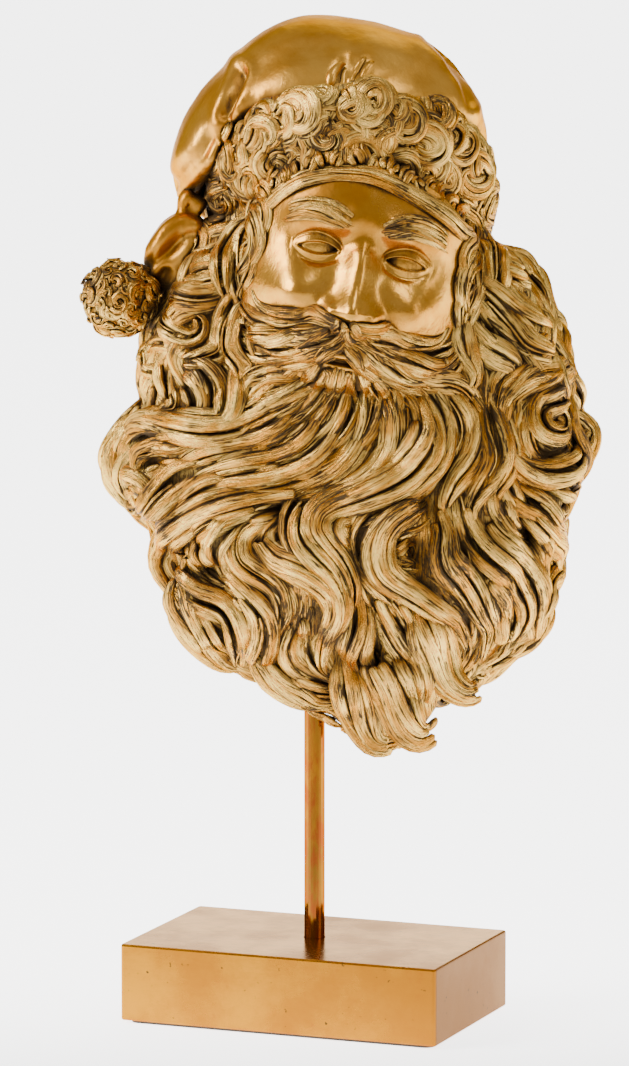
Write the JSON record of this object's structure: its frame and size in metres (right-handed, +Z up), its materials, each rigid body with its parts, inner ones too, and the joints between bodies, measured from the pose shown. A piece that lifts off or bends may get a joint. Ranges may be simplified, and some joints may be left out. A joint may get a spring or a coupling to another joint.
{
  "type": "ornamental head on stand",
  "caption": "Gilded bearded head in a stocking cap with a curly fur band and a pompom, turning on a round rod that stands in a rectangular block.",
  "frame": {"origin": "on the table under the rod's axis, at the centre of the felt's underside", "axes": "+Z up along the rod, -Y towards the block's long front face, +X to the right seen from that face"},
  "size_m": [0.1855, 0.1348, 0.3873],
  "materials": {
    "aged_leaf": "satin",
    "smooth_leaf": "gloss",
    "block_leaf": "satin",
    "rod_gilt": "polished",
    "steel": "satin",
    "felt": "matte"
  },
  "bodies": {
    "stand": {"base_felt": "felt", "base_block": "block_leaf", "base_washer": "steel", "base_screw": "steel", "support_rod": "rod_gilt"},
    "head": {"rod_socket": "steel", "socket_plug": "steel", "beard": "aged_leaf", "hair_left": "aged_leaf", "hair_right": "aged_leaf", "hair_back": "aged_leaf", "face": "smooth_leaf", "moustache_left": "aged_leaf", "moustache_right": "aged_leaf", "fur_band": "aged_leaf", "cap_crown": "smooth_leaf", "cap_tail": "smooth_leaf", "pompom": "aged_leaf", "pompom_dowel": "steel"}
  },
  "joints": [
    {"name": "head_turn", "type": "hinge", "parent": "stand", "child": "head", "pos_m": [0, 0, 0.234], "axis": [0, 0, 1], "continuous": true}
  ]
}
